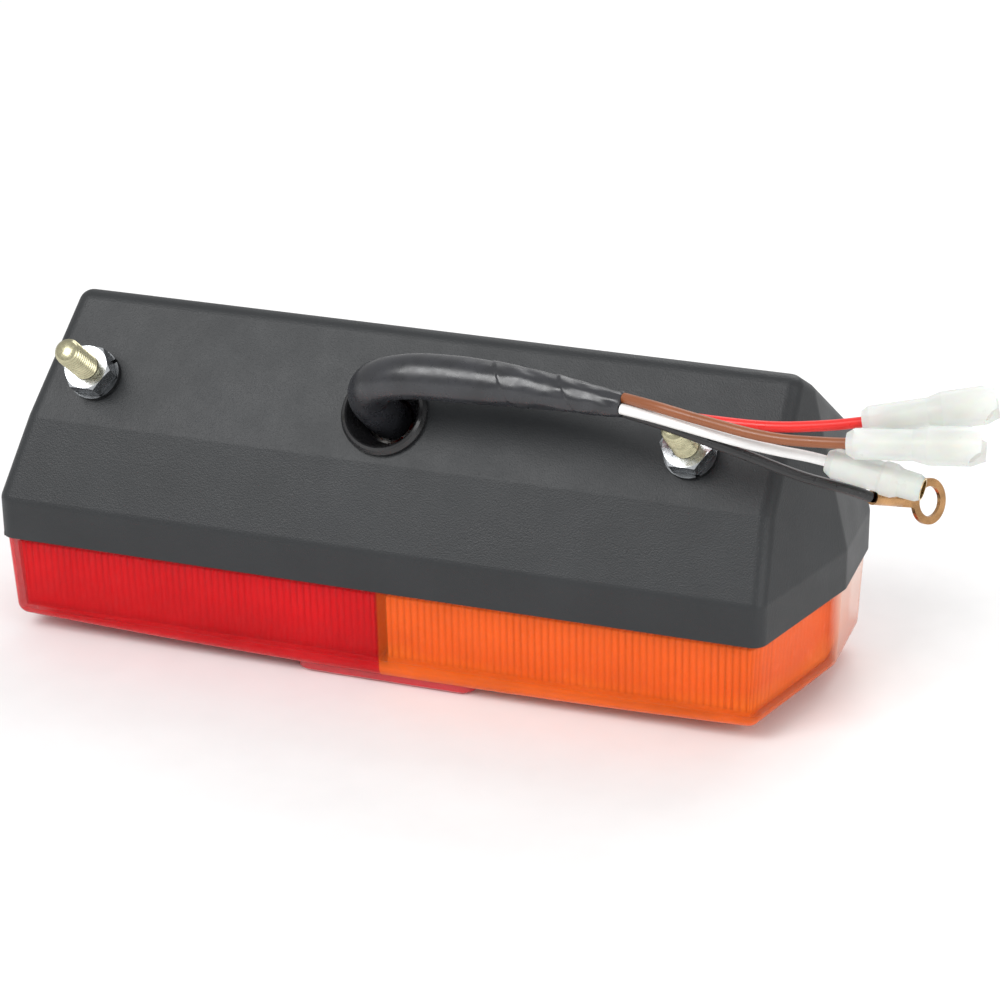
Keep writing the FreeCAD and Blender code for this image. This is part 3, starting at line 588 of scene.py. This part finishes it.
def make_spring(name, mouth_x, side):
    """Contact spring: a fixed coil about the bulb's axis, attached to the housing."""
    near, far, coil_r, wire_r, turns, push = 15.4, 20.6, 5.0, 0.4, 4, 2.0
    steps = 40 * turns
    line = []
    for i in range(steps + 1):
        along = near + wire_r + (far - near - 2 * wire_r) * i / steps
        angle = 2 * math.pi * turns * i / steps
        line.append(Vector((mouth_x + side * along, BULB_Y + coil_r * math.cos(angle),
                            BULB_Z + coil_r * math.sin(angle))) * MM)
    around = 12
    verts = []
    for point, (u, v) in zip(line, frames_along(line)):
        for j in range(around):
            angle = 2 * math.pi * j / around
            verts.append(point + (u * math.cos(angle) + v * math.sin(angle)) * wire_r * MM)
    faces = ring_faces(len(line), around)
    faces.append(tuple(reversed(range(around))))
    faces.append(tuple(len(verts) - around + j for j in range(around)))
    piece = add_mesh("coil_spring_" + name, verts, faces)
    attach(piece, "housing_body")
    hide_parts("contact_spring_" + name)
    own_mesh(piece)
    return piece


springs = [make_spring("tail", TAIL_MOUTH_X, 1), make_spring("turn", TURN_MOUTH_X, -1)]
studs = [make_stud(name, x) for name, x in zip(("left", "right"), STUD_X)]
flutes_red = fluted_wall("lens_red_flutes", -1)
flutes_amber = fluted_wall("lens_amber_flutes", 1)

RED, AMBER = (0.60, 0.004, 0.008), (0.82, 0.13, 0.012)
dress(housing_material(), "housing")
dress(finish_material("black_divider", (0.03, 0.03, 0.03), 0.5).material, "partition")
dress(finish_material("grommet_rubber", (0.013, 0.013, 0.014), 0.22, variation=0.2, grain=900,
                      grain_strength=0.06, Specular_IOR_Level=0.6).material, "cable_grommet")
dress(finish_material("seal_rubber", (0.02, 0.02, 0.02), 0.6).material, "lens_seal")
dress(lens_material("red_acrylic", RED, (0.60, 0.05, 0.06), 0.36, False), "lens_red")
dress(lens_material("amber_acrylic", AMBER, (0.85, 0.62, 0.50), 0.30, True), "lens_amber")
dress(optics_material("red_optics", (0.52, 0.008, 0.012), (0.66, 0.008, 0.014), (0.82, 0.014, 0.02),
                      (0.30, 0.002, 0.004)),
      flutes_red)
dress(optics_material("amber_optics", (0.90, 0.26, 0.035), (0.80, 0.12, 0.02), (0.92, 0.17, 0.035),
                      (0.42, 0.05, 0.006)),
      flutes_amber)
reflector = finish_material("reflector_prisms", (0.50, 0.012, 0.02), 0.14, grain=900, grain_strength=0.35,
                            grain_depth=0.15, Coat_Weight=0.6, Coat_Roughness=0.03)
dress(reflector.material, "reflex_reflector")
dress(thread_material(), *studs)
dress(finish_material("bright_zinc", (0.56, 0.58, 0.60), 0.24, metallic=1.0, variation=0.08, blotch=240,
                      grain=3000, grain_strength=0.10, grain_depth=0.03).material, "nut_left", "nut_right")
dress(finish_material("dark_spring_steel", (0.12, 0.125, 0.13), 0.34, metallic=1.0, variation=0.3, blotch=600,
                      grain=3000, grain_strength=0.2).material, "lock_washer_left", "lock_washer_right")
dress(finish_material("screw_zinc", (0.66, 0.67, 0.70), 0.28, metallic=1.0).material,
      "lens_screws", "plate_screws")
dress(finish_material("white_enamel", (0.80, 0.80, 0.77), 0.35, variation=0.05).material, "bulb_plate")
brass = finish_material("worn_brass", (0.78, 0.58, 0.27), 0.27, metallic=1.0, variation=0.16, blotch=260,
                        grain=2400, grain_strength=0.12, stretch=(0.15, 1.0, 1.0)).material
dress(brass, "socket_tail", "socket_turn", "socket_rivets", "bulb_cap_tail", "bulb_cap_turn", "bullet_red",
      "bullet_brown", "receptacle_white", "crimp_barrel_white")
dress(finish_material("phenolic", (0.22, 0.10, 0.05), 0.4).material,
      "contact_carrier_tail", "contact_carrier_turn")
dress(finish_material("spring_wire", (0.62, 0.63, 0.66), 0.22, metallic=1.0).material, *springs,
      "filament_tail", "filament_turn")
dress(finish_material("bulb_glass", (0.95, 0.97, 0.98), 0.05, variation=0.02, grain_strength=0.02,
                      rough_spread=0.02, Alpha=0.22).material, "bulb_glass_tail", "bulb_glass_turn")
dress(finish_material("sleeve_pvc", (0.022, 0.023, 0.027), 0.30, variation=0.25, blotch=160, grain=900,
                      grain_strength=0.12, grain_depth=0.06, Specular_IOR_Level=0.6).material, sleeve)
for colour, base in (("red", (0.80, 0.022, 0.018)), ("brown", (0.27, 0.085, 0.030)),
                     ("white", (0.86, 0.86, 0.85)), ("black", (0.022, 0.022, 0.023))):
    pvc = finish_material("pvc_" + colour, base, 0.32, variation=0.06, grain=700, grain_strength=0.08,
                          Specular_IOR_Level=0.5).material
    inner = {"red": "stop", "brown": "tail", "white": "turn", "black": "earth"}[colour]
    dress(pvc, wires[colour], "inner_lead_" + inner)
milky = finish_material("milky_cover", (0.80, 0.82, 0.79), 0.34, variation=0.05, blotch=120, grain=600,
                        grain_strength=0.06, Alpha=0.62, Subsurface_Weight=0.3, Subsurface_Scale=0.003)
dress(milky.material, "cover_red", "cover_brown", "cover_white")
dress(finish_material("bare_copper", (0.52, 0.29, 0.13), 0.26, metallic=1.0, variation=0.22, blotch=300,
                      grain=1800, grain_strength=0.2, grain_depth=0.04).material, "ring_terminal")


# ---- studio -----------------------------------------------------------------------------
def area_light(name, place, target, size, power):
    """A square white light that faces its target."""
    data = bpy.data.lights.new(name, "AREA")
    data.shape, data.size, data.energy = "SQUARE", size, power
    lamp = add_object(name, data)
    lamp.location = place
    lamp.rotation_mode = "QUATERNION"
    lamp.rotation_quaternion = (Vector(target) - Vector(place)).to_track_quat("-Z", "Y")


def make_studio():
    """Pale floor, white surroundings and three large soft lights."""
    floor = add_mesh("floor", [(-6, -6, 0), (6, -6, 0), (6, 6, 0), (-6, 6, 0)], [(0, 1, 2, 3)])
    pale = finish_material("pale_floor", (0.90, 0.90, 0.90), 0.6, variation=0.01, grain_strength=0.02)
    dress(pale.material, floor)
    world = bpy.data.worlds.new("studio")
    world.use_nodes = True
    background = world.node_tree.nodes["Background"]
    background.inputs["Color"].default_value = (1.0, 1.0, 1.0, 1.0)
    background.inputs["Strength"].default_value = 0.62
    bpy.context.scene.world = world
    area_light("key", (-0.45, -0.75, 0.95), (0, 0, 0.04), 0.6, 9.0)
    area_light("fill", (0.9, -0.5, 0.45), (0, 0, 0.04), 0.6, 3.5)
    area_light("back", (0.1, 0.9, 0.8), (0, 0, 0.05), 0.7, 5.0)
    bpy.context.scene.view_settings.view_transform = "Standard"


make_studio()
